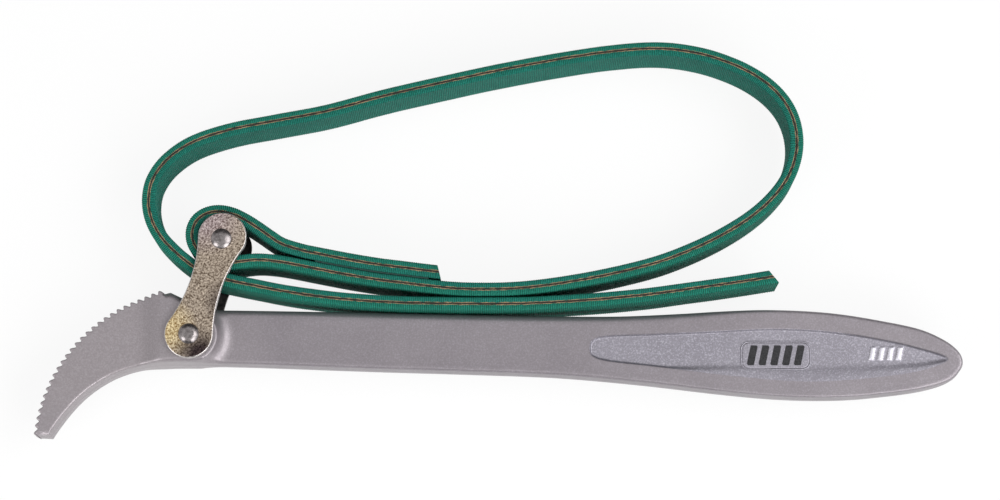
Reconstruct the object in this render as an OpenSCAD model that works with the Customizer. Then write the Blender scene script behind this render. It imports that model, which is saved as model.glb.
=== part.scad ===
// Oil filter strap wrench: a forged handle with a toothed jaw, two link plates
// and a laminated strap laid out in its working loop.
// X runs along the handle, Y across it and Z along the rivets.

/* [Handle] */
// Length from the pivot to the end of the grip
handle_l = 248; // [220:1:320]
// Thickness of the jaw beyond the head
jaw_t = 12.5; // [10.5:0.5:15]
// Length of the slope from the head down to the jaw
jaw_slope_l = 9; // [6:0.5:12]
// Thickness of the shank and the grip
shank_t = 10.5; // [8:0.5:14]
// Radius of the flat round end of the head about the pivot
head_end_r = 9; // [8.5:0.1:9.5]
// Width of the cove between the head's flat end and the shank
cove_w = 5.2; // [4:0.1:6]
// Depth of the recessed panel in each side of the grip
panel_depth = 0.8; // [0.4:0.1:1.5]

/* [Jaw teeth] */
// Number of teeth along the jaw
tooth_count = 27; // [20:1:34]
// Depth of a tooth
tooth_depth = 1.1; // [0.6:0.1:1.6]
// Radius of the arc through the tooth tips
jaw_r = 51.6; // [51.2:0.1:52]

/* [Link] */
// Distance between the two rivets
link_l = 32.3; // [31:0.1:36]
// Angle of the link above the handle's axis at rest
link_angle = 72; // [71:1:74]
// Thickness of a link plate
plate_t = 2; // [1.5:0.1:2.4]
// Radius of the round ends of a link plate
plate_end_r = 7.8; // [7:0.1:8.6]
// Width of a link plate at its waist
plate_waist = 10.5; // [9:0.1:13]
// How far past the eye's rivet a plate's round end is centred
plate_over = 0.8; // [0:0.1:1.2]
// Gap between the jaw head and each link plate
plate_clear = 0.1; // [0.05:0.01:0.2]

/* [Rivets] */
// Diameter of both rivet shafts
rivet_d = 5; // [4:0.1:5.5]
// Diameter of a rivet head
rivet_head_d = 6.6; // [6.2:0.1:7.5]
// Diameter of the flat on top of a rivet head
rivet_flat_d = 4.2; // [3:0.1:5]
// Height of a rivet head
rivet_head_h = 1.2; // [0.8:0.1:1.6]
// Radial running clearance of what turns on a rivet
run_clear = 0.06; // [0.03:0.01:0.09]
// Outer diameter of the sleeve in the strap eye
sleeve_d = 8.6; // [7:0.1:8.7]

/* [Strap] */
// Width of the strap
strap_w = 19; // [15:0.5:25]
// Gap between each edge of the strap and the link plate beside it
strap_side_clear = 0.6; // [0.3:0.1:1]
// Thickness of the whole strap
strap_t = 4.5; // [3.6:0.1:4.6]
// Thickness of the dark core
core_t = 0.5; // [0.4:0.1:0.8]
// Thickness of each tan scrim layer
scrim_t = 0.15; // [0.1:0.05:0.2]
// Thickness of the bond that holds the doubled end
bond_t = 0.4; // [0.3:0.1:0.6]
// How far the lower side of the free end reaches past its upper side
end_slant = 2.6; // [0:0.2:4]
// How far the lower side of the short end reaches past its upper side
start_slant = 1.6; // [0:0.2:3]

/* [Badge] */
// Length of the badge
badge_l = 22.4; // [14:0.2:24]
// Height of the badge across the grip
badge_h = 9.2; // [6:0.2:10]
// Thickness of the badge plate
badge_t = 0.4; // [0.3:0.1:0.6]
// Number of bars in the badge mark
mark_bars = 5; // [3:1:8]

/* [Hidden] */
$fn = 96;

// The strap runs between the link plates, and the head fills the gap that this leaves
plate_gap = strap_w + 2 * strap_side_clear;
head_t = plate_gap - 2 * plate_clear;
mid_z = rivet_head_h + plate_t + plate_gap / 2;
eye_pos = link_l * [cos(link_angle), sin(link_angle)];
panel_z = shank_t / 2 - panel_depth;
badge_corner_r = 2.6;
mark_h = 0.1;
// Where the head starts to slope down to the jaw, just clear of the link plates' round ends
slope_clear = 0.2;
jaw_slope_x = -(plate_end_r + slope_clear);
slope_steps = 8;
// Long enough to reach past the grip's end
shank_l = handle_l + 12;
// Sizes that the outlines and the route below are drawn for
drawn_l = 248;
drawn_eye = [9.981, 30.719];
// The plain shank between these places along X takes up a change of handle_l
shank_x = [67, 118];
function shank_share(x) = min(max((x - shank_x[0]) / (shank_x[1] - shank_x[0]), 0), 1);
function stretched(p) =
    [for (q = p) [q[0] + (handle_l - drawn_l) * shank_share(q[0]), q[1]]];
// The strap follows the rivet in its eye
function with_eye(p) = [for (q = p) q + eye_pos - drawn_eye];
badge_pos = stretched([[187.6, -6]])[0];

// Jaw arc: its centre, and the angles at the crown and at the tip
jaw_centre = [2, -36];
crown_angle = 101.4;
tip_angle = 175.4;
// One tooth: share of the pitch, share of the depth below the tip circle
tooth_shape = [[0, 1], [0.5, 0.35], [0.88, 0]];

jaw_tip_corner = [-48.6, -31.6];
// Rest of the outline: jaw hollow, under the shank, round the grip and back to the crown
body_points = stretched([[-44.8, -31.8], [-41, -26.3], [-37, -21.4], [-33, -17.6],
    [-28.5, -14.4], [-23.5, -11.8], [-17, -9.8], [-9, -8.7], [2, -8.6], [17, -8.8], [35, -9.4],
    [60, -10.3], [90, -11.2], [118, -12.3], [144, -14.6], [170, -17.6], [190, -19.3], [208, -19.5],
    [222, -18.4], [234.8, -16.6], [243.2, -14], [246.9, -10.4], [247.5, -7.2], [245.7, -4],
    [241.3, -0.7], [233.5, 2.7], [221, 5.4], [208, 7.5], [196, 8.5], [183, 8.8], [170, 8.4],
    [157, 7.7], [138, 6.9], [118, 6.9], [99, 7.2], [67, 7.9], [35, 8.5], [16, 8.8],
    [7, 9], [2, 10], [-2.4, 12], [-6.4, 13.9]]);

panel_points = stretched([[127.9, -3.7], [131.2, 0], [148, 0.9], [166, 1.7], [187, 2.6],
    [204, 1.8], [220, -0.6], [234, -3.8], [242.8, -7.2], [235, -10.7], [222, -12.9], [204, -14.4],
    [190, -14.2], [172, -12.5], [149, -9.7], [131.2, -7.4]]);

// Strap centre line from the doubled zone's start round the big loop to the free end
loop_points = with_eye([[36, 22.3], [44, 20.7], [52, 19.2], [60, 17.9], [68, 16.9], [76, 15.9],
    [84, 15.1], [92, 14.8], [102, 14.95], [112, 15.8], [124, 17.6], [137, 20.2], [150, 23.6],
    [161, 27.8], [171, 32.7], [180, 38.4], [187, 44.6], [192, 51.4], [194.7, 59],
    [194.9, 66.6], [192.7, 73.8], [188.4, 79.8], [182.2, 84.8], [174, 89], [163.6, 92.3],
    [151, 93.9], [136, 93], [118, 90.3], [99, 86.7], [80, 82.5], [61, 78], [43, 73.1],
    [26, 69.8], [12, 67], [0, 62.9], [-8, 57.3], [-12.6, 50.8], [-13.9, 44.2],
    [-12.9, 37.9], [-10, 32.3], [-6, 27.8], [-1.6, 24], [3, 20.9], [8, 18.8], [14, 17.3],
    [21, 15.9], [29, 14.3], [38, 12.9], [48, 11.7], [58, 10.9], [69, 10.4], [82, 10.15],
    [95, 10.05], [108, 10.2], [121, 10.85], [134, 11.8], [147, 13.1], [160, 14.9],
    [173, 16.7], [187, 18.9]]);
// Centre line of the eye, from the doubled zone over, round and under the rivet
eye_points = with_eye([[29.6, 29.3], [25.4, 31.9], [21.4, 34.7], [17.3, 37.3], [13.1, 39.3],
    [8.8, 40.1], [4.9, 39.4], [2, 37.4], [0.5, 34.4], [0.5, 31.1], [1.9, 28.2], [4.6, 25.8],
    [8, 24], [12, 23.4], [16, 23.8], [20.6, 24.3], [25.2, 24.1], [30.4, 23.4]]);
// Steps between two neighbouring points of a curve
curve_steps = 3;
strap_steps = 2;
// Number of loop steps over which the strap's short end is doubled
doubled_steps = 11;
// Steps round each end of a link plate
end_steps = 36;

// Point of a smooth curve between b and c, with the neighbours a and d
function curve_point(a, b, c, d, t) =
    (2 * b + (c - a) * t + (2 * a - 5 * b + 4 * c - d) * t * t
    + (3 * b - a - 3 * c + d) * t * t * t) / 2;

// Smooth curve through open points, with n steps from each to the next
function smooth(p, n) =
    let (last = len(p) - 1)
    concat([for (i = [0 : last - 1], k = [0 : n - 1])
        curve_point(p[max(i - 1, 0)], p[i], p[i + 1], p[min(i + 2, last)], k / n)],
        [p[last]]);

// Smooth curve through closed points
function smooth_loop(p, n) =
    let (count = len(p))
    [for (i = [0 : count - 1], k = [0 : n - 1])
        curve_point(p[(i + count - 1) % count], p[i], p[(i + 1) % count],
            p[(i + 2) % count], k / n)];

function unit(v) = v / norm(v);
function left_of(v) = [-v[1], v[0]];
function heading(p, i) = unit(p[min(i + 1, len(p) - 1)] - p[max(i - 1, 0)]);
function reversed(p) = [for (i = [len(p) - 1 : -1 : 0]) p[i]];

// Line at a distance to the left of the strap's route, with both ends cut at a slant
function beside(p, d) =
    let (last = len(p) - 1)
    [for (i = [0 : last])
        p[i] + d * left_of(heading(p, i))
        + (i == 0 ? (0.5 - d / strap_t) * start_slant * heading(p, i) : [0, 0])
        - (i == last ? d * end_slant / strap_t * heading(p, i) : [0, 0])];

loop_route = smooth(loop_points, strap_steps);
double_pitch = strap_t + bond_t;
short_route = [for (i = [doubled_steps : -1 : 0])
    loop_route[i] + double_pitch * left_of(heading(loop_route, i))];
eye_controls = concat([short_route[doubled_steps - 1], short_route[doubled_steps]],
    eye_points, [loop_route[0], loop_route[1]]);
eye_curve = smooth(eye_controls, strap_steps);
eye_route = [for (i = [strap_steps + 1 : len(eye_curve) - 2 - strap_steps]) eye_curve[i]];
strap_route = concat(short_route, eye_route, loop_route);
function beside_point(i, d) = strap_route[i] + d * left_of(heading(strap_route, i));

tooth_pitch = (tip_angle - crown_angle) / tooth_count;
teeth_points = [for (i = [0 : tooth_count - 1], s = tooth_shape)
    let (a = crown_angle + (i + s[0]) * tooth_pitch)
    jaw_centre + (jaw_r - s[1] * tooth_depth) * [cos(a), sin(a)]];

module slab(points, thickness) {
    translate([0, 0, -thickness / 2])
        linear_extrude(thickness) polygon(points);
}

// What is cut from one side of the head's thickness to leave the shank: all beyond
// the pivot but for a round boss that a cove eases down to the shank
module shank_cut() {
    step_h = (head_t - shank_t) / 2;
    cove_profile = [for (a = [0 : 15 : 90])
        [head_end_r + cove_w * (1 - cos(a)), shank_t / 2 + step_h * (1 - sin(a))]];
    difference() {
        translate([0, -head_t * 3, shank_t / 2])
            cube([shank_l, head_t * 6, head_t]);
        rotate_extrude()
            polygon(concat([[0, 0], [0, head_t * 2], [head_end_r, head_t * 2]],
                cove_profile, [[head_end_r + cove_w, 0]]));
    }
}

// What is cut from one side of the jaw: a smooth slope down from the head, then all
// above the jaw's own thickness
module jaw_cut() {
    fall = (head_t - jaw_t) / 2;
    far_x = 2 * jaw_tip_corner[0];
    slope = [for (i = [0 : slope_steps])
        let (s = i / slope_steps)
        [jaw_slope_x - s * jaw_slope_l, head_t / 2 - fall * s * s * (3 - 2 * s)]];
    rotate([90, 0, 0])
        linear_extrude(head_t * 6, center = true)
            polygon(concat(slope, [[far_x, jaw_t / 2], [far_x, head_t], [jaw_slope_x, head_t]]));
}

module handle() {
    color([0.66, 0.64, 0.66])
    translate([0, 0, mid_z])
    difference() {
        slab(concat(teeth_points, [jaw_tip_corner], smooth(body_points, curve_steps)), head_t);
        cylinder(h = 2 * head_t, d = rivet_d + 2 * run_clear, center = true);
        for (side = [0, 1])
            mirror([0, 0, side]) {
                shank_cut();
                jaw_cut();
                translate([0, 0, panel_z])
                    linear_extrude(shank_t)
                        polygon(smooth_loop(panel_points, curve_steps));
            }
    }
}

// Distance between the centres of a plate's round ends
plate_l = link_l + plate_over;
// Radius of the hollow in a plate's side that meets both round ends smoothly
waist_r = ((plate_l / 2) * (plate_l / 2) + plate_waist * plate_waist / 4
    - plate_end_r * plate_end_r) / (2 * plate_end_r - plate_waist);
waist_y = plate_waist / 2 + waist_r;
waist_span = atan2(plate_l / 2, waist_y);
waist_points = [for (a = [-1 : 0.125 : 1])
    [plate_l / 2 + waist_r * sin(a * waist_span), waist_y - waist_r * cos(a * waist_span)]];
// Round end about a place on the link's axis, from one waist to the other
function plate_end(x, from, to) = [for (i = [1 : end_steps - 1])
    let (a = from + (to - from) * i / end_steps)
    [x + plate_end_r * cos(a), plate_end_r * sin(a)]];
plate_points = concat(waist_points,
    plate_end(plate_l, 90 + waist_span, -90 - waist_span),
    reversed([for (p = waist_points) [p[0], -p[1]]]),
    plate_end(0, -90 + waist_span, -270 - waist_span));

// One link plate lying along the link with its pivot end at the origin
module link_plate() {
    color([0.6, 0.56, 0.5])
    rotate([0, 0, link_angle])
    difference() {
        linear_extrude(plate_t) polygon(plate_points);
        for (x = [0, link_l])
            translate([x, 0, -plate_t]) cylinder(h = 3 * plate_t, d = rivet_d);
    }
}

module link_plate_front() {
    translate([0, 0, mid_z + plate_gap / 2]) link_plate();
}

module link_plate_rear() {
    translate([0, 0, mid_z - plate_gap / 2 - plate_t]) link_plate();
}

// Rivet with a domed, flat-topped head at each end
module rivet() {
    head_r = rivet_head_d / 2;
    flat_r = rivet_flat_d / 2;
    stack = plate_gap / 2 + plate_t;
    dome = [for (a = [0 : 18 : 90])
        [flat_r + (head_r - flat_r) * cos(a), stack + rivet_head_h * sin(a)]];
    upper = concat([[rivet_d / 2, 0], [rivet_d / 2, stack]], dome, [[0, stack + rivet_head_h]]);
    lower = [for (p = reversed(upper)) [p[0], -p[1]]];
    color([0.72, 0.71, 0.7])
    translate([0, 0, mid_z])
        rotate_extrude() polygon(concat(upper, lower));
}

module pivot_rivet() {
    rivet();
}

module eye_rivet() {
    translate(eye_pos) rivet();
}

module eye_sleeve() {
    color([0.45, 0.45, 0.46])
    translate([eye_pos[0], eye_pos[1], mid_z])
        difference() {
            cylinder(h = plate_gap - 2 * plate_clear, d = sleeve_d, center = true);
            cylinder(h = 2 * plate_gap, d = rivet_d + 2 * run_clear, center = true);
        }
}

// Strap layer between two distances to the left of the centre line
module strap_layer(from, to) {
    translate([0, 0, mid_z])
        slab(concat(beside(strap_route, from), reversed(beside(strap_route, to))), strap_w);
}

module strap_outer_ply() {
    color([0.1, 0.5, 0.4]) strap_layer(-strap_t / 2, -core_t / 2 - scrim_t);
}

module strap_inner_ply() {
    color([0.08, 0.42, 0.34]) strap_layer(core_t / 2 + scrim_t, strap_t / 2);
}

module strap_core() {
    color([0.18, 0.1, 0.08]) strap_layer(-core_t / 2, core_t / 2);
}

module strap_scrim_outer() {
    color([0.66, 0.58, 0.46]) strap_layer(-core_t / 2 - scrim_t, -core_t / 2);
}

module strap_scrim_inner() {
    color([0.66, 0.58, 0.46]) strap_layer(core_t / 2, core_t / 2 + scrim_t);
}

// Bond between the doubled short end and the running strap, held in from both ends
module eye_bond() {
    loop_start = len(short_route) + len(eye_route);
    on_loop = [for (i = [1 : doubled_steps - 1]) beside_point(loop_start + i, strap_t / 2)];
    on_short_end = [for (i = [1 : doubled_steps - 1]) beside_point(i, strap_t / 2)];
    color([0.15, 0.13, 0.12])
    translate([0, 0, mid_z])
        slab(concat(on_loop, on_short_end), strap_w);
}

module grip_badge() {
    color([0.62, 0.6, 0.66])
    translate([badge_pos[0], badge_pos[1], mid_z + panel_z])
        linear_extrude(badge_t)
            hull()
                for (x = [-1, 1], y = [-1, 1])
                    translate([x * (badge_l / 2 - badge_corner_r),
                            y * (badge_h / 2 - badge_corner_r)])
                        circle(badge_corner_r, $fn = 32);
}

// Plain slanted bars where the maker's lettering would be
module badge_mark() {
    bar_h = badge_h * 0.7;
    bar_pitch = badge_l * 0.84 / mark_bars;
    bar_w = bar_pitch * 0.62;
    lean = bar_h * 0.22;
    color([0.08, 0.08, 0.09])
    translate([badge_pos[0], badge_pos[1], mid_z + panel_z + badge_t])
        linear_extrude(mark_h)
            for (i = [0 : mark_bars - 1])
                translate([(i - (mark_bars - 1) / 2) * bar_pitch, 0])
                    polygon([[-bar_w / 2 - lean / 2, -bar_h / 2], [bar_w / 2 - lean / 2, -bar_h / 2],
                        [bar_w / 2 + lean / 2, bar_h / 2], [-bar_w / 2 + lean / 2, bar_h / 2]]);
}

handle();
link_plate_front();
link_plate_rear();
pivot_rivet();
eye_rivet();
eye_sleeve();
strap_outer_ply();
strap_inner_ply();
strap_core();
strap_scrim_outer();
strap_scrim_inner();
eye_bond();
grip_badge();
badge_mark();
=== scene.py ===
"""Oil filter strap wrench: the detailed pieces, their materials and the studio."""
import math

import bpy
import numpy as np
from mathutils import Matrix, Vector, noise
from mathutils.geometry import delaunay_2d_cdt


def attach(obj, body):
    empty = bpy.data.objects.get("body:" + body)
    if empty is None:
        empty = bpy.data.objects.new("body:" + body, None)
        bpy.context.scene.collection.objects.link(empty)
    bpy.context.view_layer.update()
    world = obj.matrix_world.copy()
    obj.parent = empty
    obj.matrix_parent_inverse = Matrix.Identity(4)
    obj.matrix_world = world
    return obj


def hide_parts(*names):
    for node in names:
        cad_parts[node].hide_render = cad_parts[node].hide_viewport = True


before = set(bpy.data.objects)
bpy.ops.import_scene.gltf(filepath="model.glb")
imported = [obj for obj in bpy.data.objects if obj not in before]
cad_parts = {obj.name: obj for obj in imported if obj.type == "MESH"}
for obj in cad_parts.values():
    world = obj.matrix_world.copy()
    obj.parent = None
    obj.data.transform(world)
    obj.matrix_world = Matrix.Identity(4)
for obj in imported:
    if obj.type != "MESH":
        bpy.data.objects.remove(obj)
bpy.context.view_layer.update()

MM = 0.001

# ---------------------------------------------------------------- sizes, in millimetres
MID_Z = 13.3
HEAD_T, SHANK_T, JAW_T = 20.0, 10.5, 12.5
HEAD_END_R, COVE_W = 9.0, 5.2
JAW_SLOPE_X, JAW_SLOPE_L = -8.0, 9.0
PANEL_DEPTH = 0.8
PLATE_T, PLATE_END_R, PLATE_WAIST, PLATE_OVER = 2.0, 7.8, 10.5, 0.8
LINK_L, LINK_ANGLE = 32.3, math.radians(72)
PLATE_GAP = HEAD_T + 0.2
RIVET_R, RIVET_HEAD_R, RIVET_HEAD_H = 2.5, 3.3, 1.2
RUN_CLEAR = 0.06
SLEEVE_R, SLEEVE_L = 4.3, 20.0
STRAP_W, STRAP_T, CORE_T, SCRIM_T, BOND_T = 19.0, 4.5, 0.5, 0.15, 0.4
END_SLANT, START_SLANT = 2.6, 1.6
RIB_PITCH = 0.6
EYE = np.array([LINK_L * math.cos(LINK_ANGLE), LINK_L * math.sin(LINK_ANGLE)])

# Jaw arc and teeth
JAW_CENTRE, JAW_R, TOOTH_DEPTH, TOOTH_COUNT = np.array([2.0, -36.0]), 51.6, 1.1, 27
CROWN_ANGLE, TIP_ANGLE = math.radians(101.4), math.radians(175.4)
TOOTH_SHAPE = [(0, 1), (0.1, 0.97), (0.25, 0.75), (0.42, 0.38), (0.6, 0.1), (0.72, 0),
               (0.83, 0.08), (0.9, 0.35), (0.95, 0.8)]

BODY_POINTS = [
    (-44.8, -31.8), (-41, -26.3), (-37, -21.4), (-33, -17.6), (-28.5, -14.4), (-23.5, -11.8),
    (-17, -9.8), (-9, -8.7), (2, -8.6), (17, -8.8), (35, -9.4), (60, -10.3), (90, -11.2),
    (118, -12.3), (144, -14.6), (170, -17.6), (190, -19.3), (208, -19.5), (222, -18.4),
    (234.8, -16.6), (243.2, -14), (246.9, -10.4), (247.5, -7.2), (245.7, -4), (241.3, -0.7),
    (233.5, 2.7), (221, 5.4), (208, 7.5), (196, 8.5), (183, 8.8), (170, 8.4), (157, 7.7),
    (138, 6.9), (118, 6.9), (99, 7.2), (67, 7.9), (35, 8.5), (16, 8.8), (7, 9), (2, 10),
    (-2.4, 12), (-6.4, 13.9)]
JAW_TIP_CORNER = (-48.6, -31.6)
# Middle of the patch painted lighter round the jaw: painted light, for the jaw lit more brightly
# than the head and the shank
JAW_PAINTED_LIGHT_MIDDLE = (-30, -8, MID_Z)
PANEL_POINTS = [
    (127.9, -3.7), (131.2, 0), (148, 0.9), (166, 1.7), (187, 2.6), (204, 1.8), (220, -0.6),
    (234, -3.8), (242.8, -7.2), (235, -10.7), (222, -12.9), (204, -14.4), (190, -14.2),
    (172, -12.5), (149, -9.7), (131.2, -7.4)]
LOOP_POINTS = [
    (36, 22.3), (44, 20.7), (52, 19.2), (60, 17.9), (68, 16.9), (76, 15.9), (84, 15.1),
    (92, 14.8), (102, 14.95), (112, 15.8), (124, 17.6), (137, 20.2), (150, 23.6), (161, 27.8),
    (171, 32.7), (180, 38.4), (187, 44.6), (192, 51.4), (194.7, 59), (194.9, 66.6),
    (192.7, 73.8), (188.4, 79.8), (182.2, 84.8), (174, 89), (163.6, 92.3), (151, 93.9),
    (136, 93), (118, 90.3), (99, 86.7), (80, 82.5), (61, 78), (43, 73.1), (26, 69.8),
    (12, 67), (0, 62.9), (-8, 57.3), (-12.6, 50.8), (-13.9, 44.2), (-12.9, 37.9),
    (-10, 32.3), (-6, 27.8), (-1.6, 24), (3, 20.9), (8, 18.8), (14, 17.3), (21, 15.9),
    (29, 14.3), (38, 12.9), (48, 11.7), (58, 10.9), (69, 10.4), (82, 10.15), (95, 10.05),
    (108, 10.2), (121, 10.85), (134, 11.8), (147, 13.1), (160, 14.9), (173, 16.7),
    (187, 18.9)]
EYE_POINTS = [
    (29.6, 29.3), (25.4, 31.9), (21.4, 34.7), (17.3, 37.3), (13.1, 39.3), (8.8, 40.1),
    (4.9, 39.4), (2, 37.4), (0.5, 34.4), (0.5, 31.1), (1.9, 28.2), (4.6, 25.8), (8, 24),
    (12, 23.4), (16, 23.8), (20.6, 24.3), (25.2, 24.1), (30.4, 23.4)]
LOOP_STEPS, DOUBLED_SPANS = 24, 5.5
BADGE_POS, BADGE_L, BADGE_H, BADGE_T = np.array([187.6, -6.0]), 22.4, 9.2, 0.4
BADGE_BARS = 5

# Raised bars near the grip's end: the first one's middle, half sizes, height and lean
MARK_POS, MARK_HALF, MARK_H, MARK_LEAN = np.array([218.6, -5.4]), np.array([0.7, 2.0]), 0.45, 0.22
MARK_COUNT, MARK_PITCH = 4, 2.9
# Lower and upper corner of the finer mesh round the bars
MARK_ZONE = np.array([(216.5, -8), (229.5, -3)])

# Distances beyond the head's round end at which the cove's mesh has rows, as shares of its width
COVE_ROWS = np.array([-0.12, -0.08, -0.05, -0.025, 0.0, 0.006, 0.025, 0.06, 0.11, 0.18,
                      0.28, 0.4, 0.55, 0.75, 1.0, 1.06])
# Nearest and farthest distance from the pivot that these rows take over from the plain grid
COVE_ZONE = (8.4, 14.8)
# Within the panel's outline both faces lie farther than this from the middle plane
FACE_Z = 3


# ---------------------------------------------------------------- curves in the plane
def curve_point(a, b, c, d, t):
    """Point of the smooth curve between b and c, with the neighbours a and d."""
    return 0.5 * (2 * b + (c - a) * t + (2 * a - 5 * b + 4 * c - d) * t * t
                  + (3 * b - a - 3 * c + d) * t ** 3)


def smooth(points, steps, closed=False):
    """Dense points along the smooth curve through the given points."""
    p = np.array(points, float)
    n = len(p)
    out = []
    for i in range(n if closed else n - 1):
        if closed:
            a, b, c, d = p[i - 1], p[i], p[(i + 1) % n], p[(i + 2) % n]
        else:
            a, b, c, d = p[max(i - 1, 0)], p[i], p[i + 1], p[min(i + 2, n - 1)]
        out += [curve_point(a, b, c, d, k / steps) for k in range(steps)]
    if not closed:
        out.append(p[-1])
    return np.array(out)


def headings(p):
    """Unit headings along an open line of points."""
    t = np.gradient(p, axis=0)
    return t / np.linalg.norm(t, axis=1)[:, None]


def left_of(t):
    """Each heading turned a quarter to the left."""
    return np.stack([-t[:, 1], t[:, 0]], axis=1)


def inward_normals(ring):
    """Unit normals into a closed ring, and twice its signed area."""
    tangent = np.roll(ring, -1, axis=0) - np.roll(ring, 1, axis=0)
    tangent /= np.linalg.norm(tangent, axis=1)[:, None]
    area = np.sum(ring[:, 0] * np.roll(ring[:, 1], -1) - np.roll(ring[:, 0], -1) * ring[:, 1])
    return left_of(tangent) * np.sign(area), area


def circle(centre, radius, count):
    """Points round a circle, counter-clockwise."""
    return np.array([(centre[0] + radius * math.cos(a), centre[1] + radius * math.sin(a))
                     for a in np.linspace(0, 2 * math.pi, count, endpoint=False)])


def respaced(p, gap, closed=False):
    """The same line with its points a steady gap apart."""
    if closed:
        p = np.vstack([p, p[:1]])
    s = np.r_[0, np.cumsum(np.linalg.norm(np.diff(p, axis=0), axis=1))]
    n = max(int(round(s[-1] / gap)), 3)
    at = np.linspace(0, s[-1], n + 1)
    if closed:
        at = at[:-1]
    return np.stack([np.interp(at, s, p[:, 0]), np.interp(at, s, p[:, 1])], axis=1)


def signed_distance(points, ring):
    """Distance of each point to a closed ring, positive inside."""
    a = ring
    b = np.roll(ring, -1, axis=0)
    best = np.full(len(points), 1e9)
    inside = np.zeros(len(points), bool)
    for (ax, ay), (bx, by) in zip(a, b):
        dx, dy = bx - ax, by - ay
        t = np.clip(((points[:, 0] - ax) * dx + (points[:, 1] - ay) * dy)
                    / (dx * dx + dy * dy + 1e-12), 0, 1)
        gap = (points[:, 0] - ax - t * dx) ** 2 + (points[:, 1] - ay - t * dy) ** 2
        best = np.minimum(best, gap)
        crosses = (ay > points[:, 1]) != (by > points[:, 1])
        with np.errstate(divide="ignore", invalid="ignore"):
            x_at = ax + (points[:, 1] - ay) * dx / dy
        inside ^= crosses & (points[:, 0] < x_at)
    return np.where(inside, 1, -1) * np.sqrt(best)


def ease(t):
    """0 up to t = 0, 1 from t = 1 on, and a smooth step between."""
    t = np.clip(t, 0, 1)
    return t * t * (3 - 2 * t)


# ---------------------------------------------------------------- meshes
def add_mesh(name, verts, faces, material, body, replaces=(), smooth_angle=40, uv=None):
    """A mesh piece from millimetre points, riding on a body and standing for CAD nodes."""
    mesh = bpy.data.meshes.new(name)
    mesh.from_pydata([tuple(v) for v in np.asarray(verts, float) * MM], [], faces)
    mesh.validate()
    mesh.materials.append(material)
    if uv is not None:
        layer = mesh.uv_layers.new(name="UVMap")
        index = np.empty(len(mesh.loops), int)
        mesh.loops.foreach_get("vertex_index", index)
        layer.data.foreach_set("uv", np.asarray(uv, float)[index].ravel())
    mesh.polygons.foreach_set("use_smooth", [True] * len(mesh.polygons))
    obj = bpy.data.objects.new(name, mesh)
    bpy.context.scene.collection.objects.link(obj)
    if smooth_angle:
        mesh.set_sharp_from_angle(angle=math.radians(smooth_angle))
    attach(obj, body)
    if replaces:
        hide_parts(*replaces)
    return obj


def face_centres(obj):
    """The middle of each face, in millimetres."""
    return np.array([tuple(f.center) for f in obj.data.polygons]) / MM


def triangulate(points, rings):
    """Triangles over the points that keep every ring's edges."""
    edges = []
    for start, count in rings:
        edges += [(start + i, start + (i + 1) % count) for i in range(count)]
    result = delaunay_2d_cdt([Vector(p) for p in points], edges, [], 0, 1e-7)
    return np.array([tuple(v) for v in result[0]]), [tuple(f) for f in result[2]], result[3]


def two_sided(name, ring, inner_points, front_z, back_z, material, body, replaces,
              holes=(), wall_rows=(), smooth_angle=40):
    """A closed solid over an outline: a front and a back surface, with walls between them.

    front_z and back_z give each point's height; wall_rows lists (share of height, outward step)."""
    rings = [np.asarray(ring)] + [np.asarray(h) for h in holes]
    points = np.vstack(rings + [inner_points])
    spans, start = [], 0
    for r in rings:
        spans.append((start, len(r)))
        start += len(r)
    flat, tris, origin = triangulate(points, spans)
    centres = np.array([flat[list(t)].mean(axis=0) for t in tris])
    keep = signed_distance(centres, rings[0]) > 0
    for h in rings[1:]:
        keep &= signed_distance(centres, h) < 0
    tris = [t for t, k in zip(tris, keep) if k]
    place = {}
    for new, olds in enumerate(origin):
        for old in olds:
            place[old] = new
    n = len(flat)
    zf, zb = front_z(flat), back_z(flat)
    verts = np.vstack([np.c_[flat, zf], np.c_[flat, zb]])
    faces = [tuple(t) for t in tris] + [tuple(n + i for i in reversed(t)) for t in tris]
    extra = []
    for k, (begin, count) in enumerate(spans):
        ids = [place[begin + i] for i in range(count)]
        loop = flat[ids]
        inward, area = inward_normals(loop)
        rows = [ids]
        for share, step in (wall_rows if k == 0 else ()):
            z = zf[ids] * (1 - share) + zb[ids] * share
            first = 2 * n + sum(len(e) for e in extra)
            extra.append(np.c_[loop - inward * step, z])
            rows.append(list(range(first, first + count)))
        rows.append([n + i for i in ids])
        turn = (area > 0) == (k == 0)
        for low, high in zip(rows, rows[1:]):
            for i in range(count):
                j = (i + 1) % count
                quad = (low[i], high[i], high[j], low[j])
                faces.append(quad if turn else tuple(reversed(quad)))
    if extra:
        verts = np.vstack([verts] + extra)
    return add_mesh(name, verts, faces, material, body, replaces, smooth_angle)


def lathe(name, profile, centre, material, body, replaces=(), sides=72, smooth_angle=35):
    """A turned piece: profile is (radius, height) from the lower axis point to the upper one."""
    verts, faces = [], []
    rows = []
    for r, z in profile:
        if r < 1e-6:
            rows.append([len(verts)])
            verts.append((centre[0], centre[1], z))
        else:
            rows.append(list(range(len(verts), len(verts) + sides)))
            verts += [(centre[0] + r * math.cos(a), centre[1] + r * math.sin(a), z)
                      for a in (2 * math.pi * k / sides for k in range(sides))]
    pairs = list(zip(rows, rows[1:]))
    if len(rows[0]) > 1:
        pairs.append((rows[-1], rows[0]))
    for low, high in pairs:
        for k in range(sides):
            j = (k + 1) % sides
            if len(low) == 1:
                faces.append((low[0], high[j], high[k]))
            elif len(high) == 1:
                faces.append((low[k], low[j], high[0]))
            else:
                faces.append((low[k], low[j], high[j], high[k]))
    return add_mesh(name, verts, faces, material, body, replaces, smooth_angle)


# ---------------------------------------------------------------- materials
def srgb(r, g, b):
    """Linear colour of an 8-bit sRGB one."""
    def one(c):
        c /= 255
        return c / 12.92 if c <= 0.04045 else ((c + 0.055) / 1.055) ** 2.4
    return (one(r), one(g), one(b), 1)


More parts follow.
